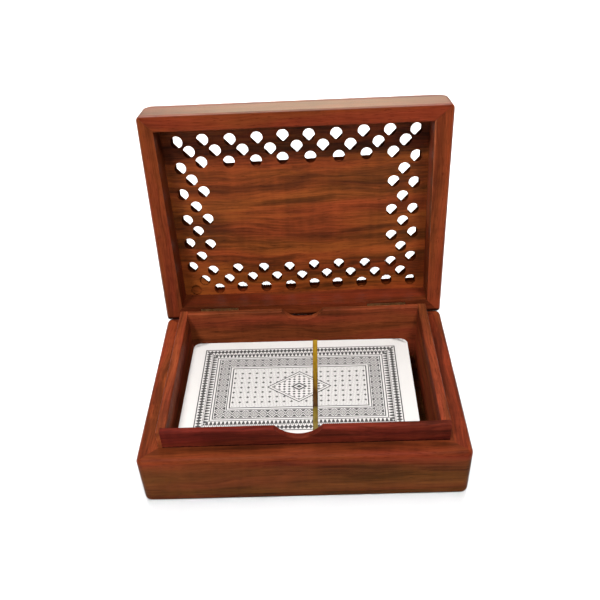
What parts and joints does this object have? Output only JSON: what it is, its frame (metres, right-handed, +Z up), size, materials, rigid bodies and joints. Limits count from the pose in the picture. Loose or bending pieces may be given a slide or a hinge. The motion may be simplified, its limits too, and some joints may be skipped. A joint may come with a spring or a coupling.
{
  "type": "playing card box",
  "caption": "Hinged wooden box for one deck of playing cards, standing open, with a pierced lid, a raised liner with finger scoops and a sealed deck inside.",
  "frame": {"origin": "centre of the base's underside", "axes": "+X to the right along the box, +Y towards the hinges at the back, +Z up"},
  "size_m": [0.1172, 0.113, 0.1043],
  "materials": {
    "base_wood": "varnished, reddish brown",
    "lid_wood": "varnished, reddish brown",
    "panel_wood": "varnished, reddish brown",
    "liner_wood": "varnished, reddish brown",
    "hinge_brass": "satin",
    "nail_brass": "satin",
    "card_edges": "coated card stock, cut edges",
    "card_back": "coated card stock, printed in black",
    "film": "clear film",
    "tear_strip": "gold film"
  },
  "bodies": {
    "base": {"base_bottom_board": "base_wood", "base_front_wall": "base_wood", "base_back_wall": "base_wood", "base_left_wall": "base_wood", "base_right_wall": "base_wood", "liner_front": "liner_wood", "liner_back": "liner_wood", "liner_left": "liner_wood", "liner_right": "liner_wood", "base_hinge_nails": "nail_brass", "hinge_left_base_leaf": "hinge_brass", "hinge_left_pin": "hinge_brass", "hinge_right_base_leaf": "hinge_brass", "hinge_right_pin": "hinge_brass"},
    "lid": {"lid_front_wall": "lid_wood", "lid_back_wall": "lid_wood", "lid_left_wall": "lid_wood", "lid_right_wall": "lid_wood", "lid_pierced_panel": "panel_wood", "lid_hinge_nails": "nail_brass", "hinge_left_lid_leaf": "hinge_brass", "hinge_right_lid_leaf": "hinge_brass"},
    "deck": {"card_stack": "card_edges", "top_card": "card_back", "film_sleeve": "film", "film_end_folds": "film", "tear_strip": "tear_strip"}
  },
  "joints": [
    {"name": "lid_hinge", "type": "hinge", "parent": "base", "child": "lid", "pos_m": [0, 0.0414, 0.0211], "axis": [1, 0, 0], "range_deg": [0, 97.5]},
    {"name": "deck_lift", "type": "slide", "parent": "base", "child": "deck", "axis": [0, 0, 1], "range_m": [0, 0.045]}
  ]
}
